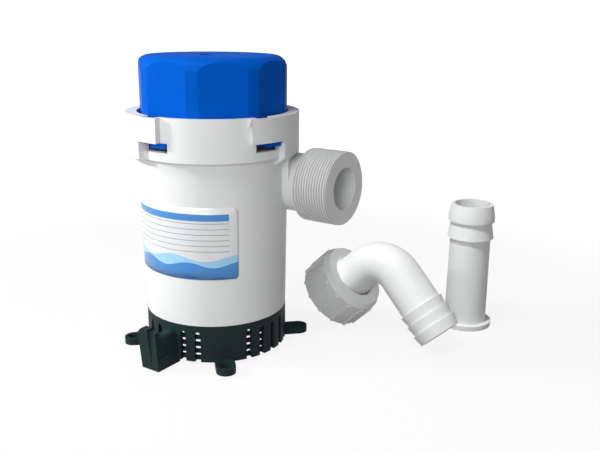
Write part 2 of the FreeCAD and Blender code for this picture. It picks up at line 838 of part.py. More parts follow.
# ----------------------------------------------------------------------- rotor
shaft = new_body("motor_shaft")
lathe(shaft, "rod", [
    ("0", "shaft_low"),
    ("shaft_radius", "shaft_low"),
    ("shaft_radius", "shaft_top"),
    ("0", "shaft_top"),
])
core = new_body("armature_core")
lathe(core, "stack", [
    ("shaft_radius", "core_low"),
    ("core_radius", "core_low"),
    ("core_radius", "core_high"),
    ("shaft_radius", "core_high"),
])
drawing = sketch_on(core, "slot_plan", "XY_Plane", lift="core_low")
draw_polygon(drawing, [
    ("core_slot_root", "- core_slot_half"),
    ("core_slot_out", "- core_slot_half"),
    ("core_slot_out", "- core_gap_half"),
    ("core_radius + over", "- core_gap_half"),
    ("core_radius + over", "core_gap_half"),
    ("core_slot_out", "core_gap_half"),
    ("core_slot_out", "core_slot_half"),
    ("core_slot_root", "core_slot_half"),
])
winding_slot = extrude(core, "winding_slot", drawing, "core_high - core_low", cut=True,
                       reverse=True)
around(core, "winding_slots", [winding_slot], 5)

coils = new_body("armature_windings")
for name, low in (("coil_end_low", "core_low - coil_over"), ("coil_end_high", "core_high")):
    lathe(coils, name, [
        ("shaft_radius + over", low),
        ("coil_out", low),
        ("coil_out", low + " + coil_over"),
        ("shaft_radius + over", low + " + coil_over"),
    ])
    if name == "coil_end_low":
        drawing = sketch_on(coils, "coil_plan", "XY_Plane", lift="core_low - over")
        draw_box(drawing, "coil_in", "coil_out - 0.4", "- coil_half", "coil_half")
        coil = extrude(coils, "coil_side", drawing, "core_high + 2 - core_low")
        around(coils, "coil_sides", [coil], 5)

commutator = new_body("commutator")
lathe(commutator, "drum", [
    ("shaft_radius", "commutator_low"),
    ("commutator_radius + 0.9", "commutator_low"),
    ("commutator_radius + 0.9", "commutator_low + 0.8"),
    ("commutator_radius", "commutator_low + 0.8"),
    ("commutator_radius", "commutator_high"),
    ("shaft_radius", "commutator_high"),
])
drawing = sketch_on(commutator, "slit_plan", "XY_Plane", turn="slit_turn", lift="commutator_low")
draw_box(drawing, "commutator_radius - 1.2", "commutator_radius + 2", "- 0.2", "0.2")
slit = extrude(commutator, "slit", drawing, "commutator_high - commutator_low", cut=True,
               reverse=True)
around(commutator, "slits", [slit], int(value("slit_count")))

# Impeller: a shroud above, and curved vanes that hang from it towards the eye.
impeller = new_body("impeller")
lathe(impeller, "shroud", [
    ("shaft_radius", "hub_low"),
    ("hub_radius", "hub_low"),
    ("hub_radius", "shroud_low"),
    ("impeller_radius", "shroud_low + 0.6"),
    ("impeller_radius", "shroud_top"),
    ("hub_radius", "shroud_top"),
    ("hub_radius", "hub_top"),
    ("shaft_radius", "hub_top"),
])
drawing = sketch_on(impeller, "vane_plan", "XY_Plane", lift="vane_low")
draw_arc_band(drawing, "vane_x", "vane_y", "vane_curve", "vane_curve + vane_thick",
              value("vane_from"), value("vane_to"))
vane = extrude(impeller, "vane", drawing, "shroud_low + over - vane_low")
around(impeller, "vanes", [vane], int(value("vane_count")))

clip = new_body("impeller_clip")
lathe(clip, "push_nut", [
    ("shaft_radius", "hub_low - clip_thick"),
    ("clip_radius", "hub_low - clip_thick"),
    ("clip_radius", "hub_low"),
    ("shaft_radius", "hub_low"),
])

# ------------------------------------------------------- loose hose connectors
straight = new_body("straight_tail")
lathe(straight, "straight_barb", [
    ("tail_bore", "0"),
    ("tail_flange", "0"),
    ("tail_flange", "tail_flange_thick"),
    ("tail_radius", "tail_flange_thick"),
    ("tail_neck", "tail_length - barb_step - barb_step"),
    ("barb_radius", "tail_length - barb_step - barb_step"),
    ("tail_neck", "tail_length - barb_step"),
    ("barb_radius", "tail_length - barb_step"),
    ("barb_radius", "tail_length - barb_step + barb_land"),
    ("tail_mouth_radius", "tail_length"),
    ("tail_bore", "tail_length"),
])

elbow = new_body("elbow_tail")
lathe(elbow, "elbow_foot", [
    ("tail_bore", "0"),
    ("elbow_flange", "0"),
    ("elbow_flange", "tail_flange_thick"),
    ("tail_radius", "tail_flange_thick"),
    ("tail_radius", "elbow_run - elbow_bend"),
    ("tail_bore", "elbow_run - elbow_bend"),
])
drawing = sketch_on(elbow, "bend_section", "XY_Plane", lift="elbow_run - elbow_bend")
draw_circle(drawing, "0", "0", "tail_radius")
draw_circle(drawing, "0", "0", "tail_bore")
hinge = drawing.addGeometry(Part.LineSegment(
    Vector(value("elbow_bend"), -5, 0), Vector(value("elbow_bend"), 5, 0)), True)
drawing.addConstraint(Sketcher.Constraint("Vertical", hinge))
number = drawing.addConstraint(
    Sketcher.Constraint("DistanceX", -1, 1, hinge, 1, value("elbow_bend")))
bind(drawing, f"Constraints[{number}]", "elbow_bend")
bend = elbow.newObject("PartDesign::Revolution", "bend")
bend.Profile = drawing
bend.ReferenceAxis = (drawing, ["Axis0"])
bend.Angle = 90.0
elbow.Tip = bend
drawing = sketch_on(elbow, "arm_profile", "XZ_Plane", lift="0")
draw_polygon(drawing, [
    ("elbow_bend", "elbow_run + tail_bore"),
    ("elbow_drop", "elbow_run + tail_bore"),
    ("elbow_drop", "elbow_run + tail_mouth_radius"),
    ("elbow_drop - elbow_barb_step", "elbow_run + barb_radius"),
    ("elbow_drop - elbow_barb_step", "elbow_run + tail_radius"),
    ("elbow_drop - elbow_barb_step - elbow_barb_step", "elbow_run + barb_radius"),
    ("elbow_drop - elbow_barb_step - elbow_barb_step", "elbow_run + tail_radius"),
    ("elbow_drop - elbow_barb_step - elbow_barb_step - elbow_barb_step",
     "elbow_run + barb_radius"),
    ("elbow_drop - elbow_barb_step - elbow_barb_step - elbow_barb_step",
     "elbow_run + tail_radius"),
    ("elbow_bend", "elbow_run + tail_radius"),
])
middle = drawing.addGeometry(Part.LineSegment(
    Vector(0, value("elbow_run"), 0), Vector(20, value("elbow_run"), 0)), True)
drawing.addConstraint(Sketcher.Constraint("Horizontal", middle))
number = drawing.addConstraint(
    Sketcher.Constraint("DistanceY", -1, 1, middle, 1, value("elbow_run")))
bind(drawing, f"Constraints[{number}]", "elbow_run")
arm = elbow.newObject("PartDesign::Revolution", "arm")
arm.Profile = drawing
arm.ReferenceAxis = (drawing, ["Axis0"])
arm.Angle = 360.0
elbow.Tip = arm

nut = new_body("union_nut")
lathe(nut, "nut_shell", [
    ("nut_bore", "nut_low"),
    ("nut_radius", "nut_low"),
    ("nut_radius", "nut_rib_top + over"),
    ("nut_face_radius", "nut_top"),
    ("nut_hole", "nut_top"),
    ("nut_hole", "nut_shoulder"),
    ("nut_bore", "nut_shoulder"),
])
drawing = sketch_on(nut, "grip_plan", "XY_Plane", lift="nut_low")
draw_box(drawing, "nut_radius - bite", "nut_rib", "- nut_rib_half", "nut_rib_half")
grip = extrude(nut, "grip", drawing, "nut_rib_top - nut_low")
around(nut, "grips", [grip], int(value("nut_ribs")))

gasket = new_body("union_gasket")
lathe(gasket, "gasket_ring", [
    ("tail_bore + gasket_in", "- gasket_thick"),
    ("elbow_flange", "- gasket_thick"),
    ("elbow_flange", "0"),
    ("tail_bore + gasket_in", "0"),
])

# The elbow lies on the rim of its nut and the edge of its mouth, arched up.
nut_axis = Vector(0.72050, 0.00740, 0.69342)
mouth_axis = Vector(0.69188, -0.07517, -0.71809)
lying = Placement(Vector(41.982, 52.077, 21.376),
                  Rotation(mouth_axis, nut_axis.cross(mouth_axis), nut_axis, "ZXY"))
for piece in (elbow, nut, gasket):
    piece.Placement = lying
nut.Placement = lying * Placement(Vector(), Rotation(Vector(0, 0, 1), value("nut_turn")))
straight.Placement = Placement(Vector(92.7, 86.7, 0), Rotation())

# ---------------------------------------------------------------------- output
# The pump's own heights count from the basket's rim, which stands on the ears.
for item in doc.Objects:
    if item.TypeId == "PartDesign::Body" and item not in (straight, elbow, nut, gasket):
        bind(item, ".Placement.Base.z", "stand_off")
doc.recompute()
NODES = [item for item in doc.Objects
         if item.TypeId == "PartDesign::Body" or item.Label == "cartridge_o_ring"]
for item in doc.Objects:
    if "Invalid" in item.State or "Error" in item.State:
        raise RuntimeError(f"{item.Label} did not recompute: {item.State}")
os.makedirs("parts", exist_ok=True)
for node in NODES:
    if node.Shape.isNull() or not node.Shape.isValid():
        raise RuntimeError(f"{node.Label} has no valid shape")
    node.Shape.exportStep(f"parts/{node.Label}.step")
    box = node.Shape.BoundBox
    print(f"{node.Label:20s} {len(node.Shape.Solids)} solid(s)"
          f"  z {box.ZMin:7.2f} to {box.ZMax:7.2f}  volume {node.Shape.Volume:9.0f}")
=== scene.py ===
# %% [markdown]
# A bilge pump with a lift-out motor cartridge, dressed for its portrait.  The
# packed model gives every solid its exact place.  This notebook gives each one
# its finish, and rebuilds the few pieces whose look needs more than the solid
# has: the screw threads, the printed film and the soft edges of moulded parts.

import json
import math

import bmesh
import bpy
from mathutils import Matrix, Vector


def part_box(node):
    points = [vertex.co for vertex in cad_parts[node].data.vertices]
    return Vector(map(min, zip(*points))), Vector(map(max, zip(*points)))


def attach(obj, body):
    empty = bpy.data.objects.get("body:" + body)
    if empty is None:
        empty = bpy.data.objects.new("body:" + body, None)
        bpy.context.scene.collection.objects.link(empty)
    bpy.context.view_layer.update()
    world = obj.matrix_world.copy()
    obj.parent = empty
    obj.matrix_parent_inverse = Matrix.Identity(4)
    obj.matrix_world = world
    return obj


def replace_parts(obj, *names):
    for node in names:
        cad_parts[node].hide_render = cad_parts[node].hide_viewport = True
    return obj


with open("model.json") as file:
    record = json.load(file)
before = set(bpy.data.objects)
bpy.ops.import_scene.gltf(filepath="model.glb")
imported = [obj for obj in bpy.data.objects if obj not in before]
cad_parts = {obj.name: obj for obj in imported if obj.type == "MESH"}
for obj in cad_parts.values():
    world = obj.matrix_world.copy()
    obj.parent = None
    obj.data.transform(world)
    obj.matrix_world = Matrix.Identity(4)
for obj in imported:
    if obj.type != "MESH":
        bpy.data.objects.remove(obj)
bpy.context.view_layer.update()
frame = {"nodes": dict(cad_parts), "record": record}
record = frame["record"]

# %% [markdown]
# Everything in Blender is in metres.  Moulded parts are thought of in
# millimetres, so one short constant turns one into the other.  The outlet's
# thread is where a hose fitting screws on.  Its place and width could be
# measured off the mesh, but the record's mounts already say them.

# %% Units and the outlet's own measures
MM = 0.001
mounts = {mount["name"]: mount for mount in record["mounts"]}
outlet = mounts["discharge_thread"]
outlet_axis_y, outlet_axis_z = outlet["pos_m"][1], outlet["pos_m"][2]
outlet_radius = outlet["dims"]["r_mm"] * MM
outlet_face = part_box("pump_housing")[1][0]
outlet_back = outlet_face - outlet["dims"]["length_mm"] * MM
print("outlet thread", round(outlet_radius / MM, 2), "mm radius,",
      "from x", round(outlet_back / MM, 2), "to", round(outlet_face / MM, 2))

# %% [markdown]
# A material is a small program made of nodes.  Wiring nodes by hand is wordy,
# so one class wraps a socket and lets Python's own operators add the Math
# nodes.  `1 - mask` then works as it reads, because the reflected forms are
# there too.

# %% A socket that understands arithmetic


class Wire:
    """One output of a node, with maths written as plain Python."""

    def __init__(self, bench, socket):
        self.bench = bench
        self.socket = socket

    def math(self, operation, *values):
        sockets = dict(enumerate(values))
        return self.bench.node("ShaderNodeMath", {"operation": operation}, sockets)

    def __add__(self, other):
        return self.math("ADD", self, other)

    def __radd__(self, other):
        return self.math("ADD", other, self)

    def __sub__(self, other):
        return self.math("SUBTRACT", self, other)

    def __rsub__(self, other):
        return self.math("SUBTRACT", other, self)

    def __mul__(self, other):
        return self.math("MULTIPLY", self, other)

    def __rmul__(self, other):
        return self.math("MULTIPLY", other, self)

    def __truediv__(self, other):
        return self.math("DIVIDE", self, other)

    def __lt__(self, other):
        return self.math("LESS_THAN", self, other)

    def __gt__(self, other):
        return self.math("GREATER_THAN", self, other)

    def sine(self):
        return self.math("SINE", self)

    def fraction(self):
        return self.math("FRACT", self)

    def root(self):
        return self.math("SQRT", self)

    def limited(self):
        """The same value, kept between 0 and 1."""
        return self.math("MINIMUM", self.math("MAXIMUM", self, 0.0), 1.0)

    def spread(self, gain):
        """A noise stretched about its middle, and kept between 0 and 1."""
        return (self * gain - (gain - 1.0) / 2).limited()


print("a wire can", [name for name in vars(Wire) if not name.startswith("_")])

# %% [markdown]
# Materials and the room's light are both trees of nodes, so both are built on
# the same bench.  Its `node` method adds any node: settings first, because a
# Math node's operation decides what its sockets mean, and then the values or
# wires of the sockets.

# %% A bench for any tree of nodes


class Bench:
    """A tree of nodes under construction."""

    def __init__(self, tree):
        self.nodes = tree.nodes
        self.links = tree.links

    def node(self, kind, settings=None, sockets=None, output=0):
        made = self.nodes.new(kind)
        for setting, choice in (settings or {}).items():
            setattr(made, setting, choice)
        for socket, given in (sockets or {}).items():
            self.feed(made.inputs[socket], given)
        return Wire(self, made.outputs[output])

    def feed(self, socket, given):
        if isinstance(given, Wire):
            self.links.new(given.socket, socket)
        else:
            socket.default_value = given


print("bench ready")

# %% [markdown]
# A finish is the bench of one material.  The material could be wired afresh for
# each piece, but nearly every finish here asks for the same few nodes, so they
# are its methods.

# %% A material under construction


class Finish(Bench):
    """A material with a Principled shader; the constants are set on its own sockets."""

    def __init__(self, name, **constants):
        self.material = bpy.data.materials.new(name)
        self.material.use_nodes = True
        super().__init__(self.material.node_tree)
        self.shader = self.nodes["Principled BSDF"]
        for socket, number in constants.items():
            self.shader.inputs[socket.replace("_", " ")].default_value = number

    def surface(self, **wires):
        for socket, given in wires.items():
            self.feed(self.shader.inputs[socket.replace("_", " ")], given)

    def place(self):
        """Where a point of the surface is, in metres."""
        return self.node("ShaderNodeTexCoord", output="Object")

    def axes(self, vector):
        """The three numbers of a vector, one wire each."""
        made = self.node("ShaderNodeSeparateXYZ", sockets={0: vector})
        return [Wire(self, socket) for socket in made.socket.node.outputs]

    def noise(self, scale, detail=2.0, where=None):
        sockets = {"Vector": where or self.place(), "Scale": scale, "Detail": detail}
        return self.node("ShaderNodeTexNoise", sockets=sockets)

    def blend(self, factor, first, second):
        """Mix two colours; a Math node would turn them grey."""
        ends = {socket: end if isinstance(end, Wire) else (*end, 1.0)
                for socket, end in ((6, first), (7, second))}
        return self.node("ShaderNodeMix", {"data_type": "RGBA"}, {0: factor, **ends}, 2)

    def grain(self, height, depth, edge=0.0):
        """Bump of a depth in metres, over edges that are softened by a radius."""
        sockets = {"Height": height, "Strength": 1.0, "Distance": depth}
        if edge:
            sockets["Normal"] = self.node("ShaderNodeBevel", {"samples": 4}, {"Radius": edge})
        return self.node("ShaderNodeBump", sockets=sockets)


print("shader helpers ready")

# %% [markdown]
# Moulded plastic is never one flat colour.  The mould's surface is spark eroded,
# which leaves a fine grain, and the melt cools unevenly, which shows as broad,
# faint clouds of shade and gloss.  A picture of plastic could be wrapped round
# each piece, but noise in the object's own coordinates needs no unwrapping and
# runs on across every edge, so one recipe serves every moulding.  Scales are in
# clouds or grains per metre, and depths are in metres.

# %% Moulded plastics
CLOUDS = 55.0
CLOUD_DETAIL = 3.0
CLOUD_GAIN = 1.6
# How dark the painted shade at the foot of a hollow is, against the colour.
HOLLOW_SHADE = 0.42


def moulded(name, colour, shade, roughness, grain=2200.0, depth=0.00003, mottle=0.10,
            edge=0.00012, painted_shade=None, **constants):
    finish = Finish(name, **constants)
    clouds = finish.noise(CLOUDS, CLOUD_DETAIL)
    fine = finish.noise(grain)
    face = finish.blend(clouds.spread(CLOUD_GAIN), colour, shade)
    # Painted shade: where the optional mask is 1, the colour darkens to HOLLOW_SHADE of itself,
    # in place of light that doesn't reach a hollow.
    if painted_shade:
        hollow_shade_colour = [HOLLOW_SHADE * part for part in colour]
        face = finish.blend(painted_shade(finish), face, hollow_shade_colour)
    finish.surface(
        Base_Color=face,
        Roughness=roughness + (clouds - 0.5) * mottle,
        Normal=finish.grain(fine, depth, edge),
    )
    return finish.material


WHITE, WHITE_SHADE = (0.80, 0.81, 0.805), (0.775, 0.788, 0.785)
WHITE_FACTS = {"roughness": 0.46, "edge": 0.0, "Specular_IOR_Level": 0.2}
white_plastic = moulded("white_moulding", WHITE, WHITE_SHADE, **WHITE_FACTS)
blue_plastic = moulded("blue_grip_moulding", (0.0003, 0.106, 0.58), (0.0003, 0.094, 0.53), 0.42,
                       grain=1600.0, depth=0.00002, Specular_IOR_Level=0.02)
black_plastic = moulded("black_basket_moulding", (0.020, 0.036, 0.036), (0.015, 0.028, 0.028),
                        0.46, grain=1500.0, depth=0.00004, Specular_IOR_Level=0.05)
casing_plastic = moulded("grey_casing_moulding", (0.42, 0.43, 0.44), (0.38, 0.39, 0.40), 0.45)
bell_plastic = moulded("brush_holder_moulding", (0.55, 0.50, 0.38), (0.50, 0.45, 0.34), 0.55)
impeller_plastic = moulded("impeller_moulding", (0.36, 0.05, 0.02), (0.31, 0.04, 0.02), 0.38)
black_rubber = moulded("black_rubber", (0.018, 0.018, 0.019), (0.028, 0.028, 0.029), 0.72,
                       grain=900.0, depth=0.00006, mottle=0.2)
print("plastics and rubber ready")

# %% [markdown]
# The motor's metals differ mostly by how they were worked.  A turned shaft has
# rings round its axis, rolled sheet has streaks along it, and pressed powder
# is speckled.  Each could be a wave or a picture of its own, but stretching the
# coordinates of one noise makes all three.

# %% Metals and pressed powders
STREAK_DETAIL = 3.0
STREAK_GAIN = 1.8
STREAK_GLOSS = 0.16
STREAK_DEPTH = 0.00001


def worked_metal(name, colour, shade, roughness, stretch, metallic=1.0):
    finish = Finish(name, Metallic=metallic)
    stretched = finish.node("ShaderNodeVectorMath", {"operation": "MULTIPLY"},
                            {0: finish.place(), 1: stretch})
    streaks = finish.noise(1.0, STREAK_DETAIL, stretched)
    finish.surface(
        Base_Color=finish.blend(streaks.spread(STREAK_GAIN), colour, shade),
        Roughness=roughness + (streaks - 0.5) * STREAK_GLOSS,
        Normal=finish.grain(streaks, STREAK_DEPTH),
    )
    return finish.material


ground_steel = worked_metal("ground_steel", (0.62, 0.63, 0.65), (0.54, 0.55, 0.57), 0.22,
                            (90.0, 90.0, 4000.0))
zinc_steel = worked_metal("zinc_plated_steel", (0.60, 0.61, 0.60), (0.50, 0.52, 0.53), 0.36,
                          (900.0, 900.0, 160.0))
core_steel = worked_metal("stacked_steel_sheet", (0.22, 0.23, 0.24), (0.12, 0.12, 0.13), 0.42,
                          (60.0, 60.0, 2400.0))
spring_brass = worked_metal("rolled_brass", (0.66, 0.48, 0.18), (0.58, 0.40, 0.14), 0.30,
                            (1500.0, 1500.0, 120.0))
copper_bars = worked_metal("turned_copper", (0.72, 0.33, 0.18), (0.60, 0.25, 0.12), 0.28,
                           (80.0, 80.0, 3000.0))
bronze = worked_metal("pressed_bronze", (0.48, 0.29, 0.12), (0.34, 0.19, 0.08), 0.48,
                      (1800.0, 1800.0, 1800.0))
ferrite = worked_metal("ground_ferrite", (0.07, 0.07, 0.075), (0.045, 0.045, 0.05), 0.55,
                       (1400.0, 1400.0, 1400.0), metallic=0.0)
carbon = worked_metal("pressed_carbon", (0.05, 0.05, 0.052), (0.03, 0.03, 0.03), 0.5,
                      (2200.0, 2200.0, 2200.0), metallic=0.0)
print("metals ready")

# %% [markdown]
# Enamelled wire lies turn beside turn along the armature.  Modelling each turn
# would cost thousands of faces that a closed casing hides, so a wave gives the
# rows of wire their colour, and the same wave lifts them as bump.

# %% Copper winding
WIRE_ROWS = 900.0
WIRE_STRAY = 1.5
WIRE_LEAN = (1.0, 1.0, 0.15)
WIRE_LIFT = 0.00012


def winding():
    finish = Finish("enamelled_wire", Metallic=0.85)
    leaning = finish.node("ShaderNodeVectorMath", {"operation": "MULTIPLY"},
                          {0: finish.place(), 1: WIRE_LEAN})
    rows = finish.node("ShaderNodeTexWave", {"wave_type": "BANDS", "bands_direction": "DIAGONAL"},
                       {"Vector": leaning, "Scale": WIRE_ROWS, "Distortion": WIRE_STRAY}, "Fac")
    finish.surface(
        Base_Color=finish.blend(rows, (0.28, 0.07, 0.02), (0.62, 0.22, 0.08)),
        Roughness=0.42 - rows * 0.14,
        Normal=finish.grain(rows, WIRE_LIFT),
    )
    return finish.material


copper_wire = winding()
print("winding ready")

# %% [markdown]
# The rating film is printed and laminated.  Its face here is a plain generic
# one: a blank form under a head bar, and two bands of water that roll past each
# other at the bottom.  Thin pieces of film could be laid over one another, but
# a print has no thickness, so each printed shape is a sum on the film's own
# coordinates, which come from its UV map.  All measures are in millimetres.

# %% Printed film
PAPER = (0.74, 0.755, 0.76)
DEEP_BLUE, PALE_BLUE, RULE_GREY = (0.045, 0.235, 0.60), (0.33, 0.62, 0.86), (0.16, 0.20, 0.24)
FAR_WATER, FAR_SWELL, FAR_TURN = 9.6, 1.3, 0.21
NEAR_WATER, NEAR_SWELL, NEAR_TURN, NEAR_START = 6.6, 1.1, 0.27, 2.1
MARGIN = 4.0
RULE_PITCH, RULE_HIGH, RULE_FROM = 2.5, 0.32, 12.6
FORM_LOW, FORM_HIGH = 12.4, 25.8
HEAD_LOW, HEAD_HIGH = 26.4, 29.4
RULE_INK = 0.75


def printed_film(width, height):
    finish = Finish("printed_film", Coat_Weight=0.25, Coat_Roughness=0.12)
    u, v, _ = finish.axes(finish.node("ShaderNodeUVMap", {"uv_map": "film"}))
    x = u * width
    y = v * height
    inside = (x > MARGIN) * (x < width - MARGIN)

    far_water = y < FAR_WATER + FAR_SWELL * (x * FAR_TURN).sine()
    near_water = y < NEAR_WATER + NEAR_SWELL * (x * NEAR_TURN + NEAR_START).sine()
    rule = ((y - RULE_FROM) / RULE_PITCH).fraction() * RULE_PITCH < RULE_HIGH
    rules = rule * inside * (y > FORM_LOW) * (y < FORM_HIGH)
    head = (y > HEAD_LOW) * (y < HEAD_HIGH) * inside

    face = finish.blend(far_water, PAPER, PALE_BLUE)
    face = finish.blend(near_water, face, DEEP_BLUE)
    face = finish.blend(rules * RULE_INK, face, RULE_GREY)
    face = finish.blend(head, face, DEEP_BLUE)
    finish.surface(
        Base_Color=face,
        Roughness=0.30 + (finish.noise(70.0) - 0.5) * 0.08,
        Normal=finish.grain(finish.noise(500.0), 0.00001),
    )
    return finish.material


print("film recipe ready")

# %% [markdown]
# Finishes could be given to the pieces one by one.  But every solid keeps its
# slot from the record, so one table sends each slot to its finish, and a piece
# that is renamed still finds its own.  The film's slot isn't in the table: its
# solid takes the white until the printed film replaces it.

# %% Finishes onto the solids
FINISHES = {
    "white_plastic": white_plastic, "black_plastic": black_plastic,
    "blue_plastic": blue_plastic, "black_rubber": black_rubber,
    "casing_plastic": casing_plastic, "zinc_steel": zinc_steel, "bronze": bronze,
    "ferrite": ferrite, "bell_plastic": bell_plastic, "carbon": carbon,
    "spring_brass": spring_brass, "shaft_steel": ground_steel, "core_steel": core_steel,
    "copper_wire": copper_wire, "copper_bars": copper_bars,
    "impeller_plastic": impeller_plastic,
}
slot_of = {part["node"]: part["material_slot"] for part in record["subparts"]}
for name, solid in frame["nodes"].items():
    finish = FINISHES.get(slot_of[name], white_plastic)
    for slot in solid.material_slots:
        slot.material = finish
    if not solid.material_slots:
        solid.data.materials.append(finish)
print("finishes on", len(frame["nodes"]), "solids")

# %% [markdown]
# The solids arrive as triangles.  A Bevel modifier would round every edge, but
# it trips over the long thin triangles of a turned solid.  So a copy of the
# solid is welded, shaded smooth, and kept sharp only where it really turns a
# corner.  The copy then stands for the solid, which stays underneath for the
# simulation.  A low limit keeps shallow corners crisp too, such as the edges of
# the grip's flats and the lips of the hose barbs.

# %% A smooth copy of a solid
WELD = 0.002 * MM
ROUNDED, CRISP, FACETED = 32.0, 13.0, 11.0
body_of = {node: body for body, nodes in record["behaviour"]["bodies"].items()
           for node in nodes}


def keep_corners(mesh, corner=ROUNDED):
    """Shade smooth, apart from edges that turn more than the corner angle."""
    work = bmesh.new()
    work.from_mesh(mesh)
    bmesh.ops.remove_doubles(work, verts=work.verts, dist=WELD)
    limit = math.radians(corner)
    for face in work.faces:
        face.smooth = True
    for edge in work.edges:
        edge.smooth = len(edge.link_faces) == 2 and edge.calc_face_angle(0.0) < limit
    work.to_mesh(mesh)
    work.free()


def add_piece(name, mesh, body, slot):
    piece = bpy.data.objects.new(name, mesh)
    bpy.context.collection.objects.link(piece)
    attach(piece, body)
    if not mesh.materials:
        mesh.materials.append(FINISHES[slot])
    return piece


def smooth_copy(node, corner=ROUNDED):
    mesh = frame["nodes"][node].data.copy()
    keep_corners(mesh, corner)
    return add_piece(node + "_skin", mesh, body_of[node], slot_of[node])


for node, corner in (("strainer_base", ROUNDED), ("cartridge_o_ring", ROUNDED),
                     ("straight_tail", CRISP), ("elbow_tail", CRISP),
                     ("cartridge_cap", FACETED)):
    piece = smooth_copy(node, corner)
    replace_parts(piece, node)
    print(piece.name, len(piece.data.polygons), "faces")

# %% [markdown]
# A screw thread is one groove that winds round a cylinder.  A bump map could
# draw it, but its edge would stay straight against the background, so the
# groove is cut.  First comes the shape of the groove: a strip of triangular
# section, swept along a helix.

# %% A strip that winds
STEPS_PER_TURN = 72


def helix_ridge(name, start, axis, radius_tip, radius_foot, half_foot, pitch, length):
    """Closed strip of triangular section that winds along an axis."""
    out = Vector(axis).normalized()
    side = out.orthogonal().normalized()
    other = out.cross(side)
    work = bmesh.new()
    rows = []
    for step in range(int(length / pitch * STEPS_PER_TURN) + 1):
        angle = math.tau * step / STEPS_PER_TURN
        around = side * math.cos(angle) + other * math.sin(angle)
        along = Vector(start) + out * (pitch * step / STEPS_PER_TURN)
        rows.append([
            work.verts.new(along + around * radius_foot - out * half_foot),
            work.verts.new(along + around * radius_tip),
            work.verts.new(along + around * radius_foot + out * half_foot),
        ])
    for low, high in zip(rows, rows[1:]):
        for corner in range(3):
            after = (corner + 1) % 3
            work.faces.new((low[corner], low[after], high[after], high[corner]))
    work.faces.new(rows[0][::-1])
    work.faces.new(rows[-1])
    bmesh.ops.recalc_face_normals(work, faces=work.faces)
    mesh = bpy.data.meshes.new(name)
    work.to_mesh(mesh)
    work.free()
    return mesh


print("a turn of thread has", STEPS_PER_TURN, "steps")

# %% [markdown]
# A soft studio light can't show grooves this small, so shade is painted at the
# foot of the thread.  The housing therefore gets the white of its own: the same
# moulding, with painted shade that darkens it by how deep a point lies under
# the crests.  Distance to the outlet's axis says that, so the painted shade
# stays in the groove from every side.

# %% White with painted shade in the thread roots
THREAD_PITCH = 1.32 * MM
THREAD_DEPTH = 0.80 * MM
THREAD_CLEAR = 0.25 * MM


def thread_root_shade(finish):
    """Painted shade: 1 at the bottom of the outlet's thread, 0 on its crests and elsewhere."""
    x, y, z = finish.axes(finish.place())
    across, up = y - outlet_axis_y, z - outlet_axis_z
    reach = (across * across + up * up).root()
    depth = ((outlet_radius - reach) / THREAD_DEPTH).limited()
    inside = (x > outlet_back) * (x < outlet_face - THREAD_CLEAR)
    return depth * inside * (reach > outlet_radius - THREAD_DEPTH - THREAD_CLEAR)


white_housing_root_shade = moulded("white_housing_root_shade", WHITE, WHITE_SHADE, painted_shade=thread_root_shade, **WHITE_FACTS)
print("thread roots", round(THREAD_DEPTH / MM, 2), "mm deep")

# %% [markdown]
# Now the Boolean takes the strip out of the housing's copy.  The strip's foot
# stands a little proud of the cylinder, so no sliver is left, and the crests
# stay on the solid's own surface, where a nut or a gauge expects them.

# %% The outlet's thread
GROOVE_PROUD = 0.12 * MM
GROOVE_HALF = 0.47 * THREAD_PITCH
GROOVE_START, GROOVE_PAST = 1.0 * MM, 1.5 * MM


def cut(piece, cutter_mesh):
    """Take a cutter out of a piece, for good."""
    cutter = bpy.data.objects.new("groove_cutter", cutter_mesh)
    bpy.context.collection.objects.link(cutter)
    boolean = piece.modifiers.new("groove", "BOOLEAN")
    boolean.operation = "DIFFERENCE"
    boolean.solver = "EXACT"
    boolean.object = cutter
    bpy.context.view_layer.update()
    seen = piece.evaluated_get(bpy.context.evaluated_depsgraph_get())
    result = bpy.data.meshes.new_from_object(seen)
    piece.modifiers.clear()
    piece.data = result
    bpy.data.objects.remove(cutter)


housing = smooth_copy("pump_housing")
before = len(housing.data.polygons)
cut(housing, helix_ridge(
    "outlet_groove", (outlet_back - GROOVE_START, outlet_axis_y, outlet_axis_z), (1, 0, 0),
    outlet_radius - THREAD_DEPTH, outlet_radius + GROOVE_PROUD, GROOVE_HALF,
    THREAD_PITCH, outlet_face - outlet_back + GROOVE_START + GROOVE_PAST))
keep_corners(housing.data)
# The housing takes the white with painted shade in its thread roots.
housing.data.materials.clear()
housing.data.materials.append(white_housing_root_shade)
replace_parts(housing, "pump_housing")
print("housing faces", before, "to", len(housing.data.polygons))

# %% [markdown]
# The loose union nut has the matching thread on its inside.  Here nothing needs
# cutting: the same strip, turned inside out, winds round the bore and stands
# into it.  It rides on the nut, so it turns when the nut turns.

# %% The union nut and its thread
nut_joint = next(joint for joint in record["behaviour"]["joints"] if joint["name"] == "nut_spin")
nut_axis = Vector(nut_joint["axis"]).normalized()
nut_seat = Vector(nut_joint["pos_m"])
NUT_BORE = 16.8 * MM
NUT_MOUTH = 11.5 * MM
RIDGE_INSET = 0.9 * MM
RIDGE_HIGH, RIDGE_SUNK = 0.5 * MM, 0.15 * MM
RIDGE_HALF = 0.45 * THREAD_PITCH
ridge_length = NUT_MOUTH - 4.2 * MM
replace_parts(smooth_copy("union_nut", CRISP), "union_nut")
ridge = helix_ridge(
    "union_nut_ridge", nut_seat - nut_axis * (NUT_MOUTH - RIDGE_INSET), nut_axis,
    NUT_BORE - RIDGE_HIGH, NUT_BORE + RIDGE_SUNK, RIDGE_HALF, THREAD_PITCH, ridge_length)
keep_corners(ridge)
add_piece("union_nut_thread", ridge, "nut", "white_plastic")
print("nut thread turns", round(ridge_length / THREAD_PITCH, 1))

# %% [markdown]
# The film is a curved sheet a sixth of a millimetre thick, wrapped on the
# tube's slight cone.  A flat sheet could be bent with a modifier, but a grid
# laid straight onto the cone follows it exactly, and each of its points gives
# its own place on the print to the UV map.  The ends are drawn in along a
# quarter circle, which rounds the four corners.

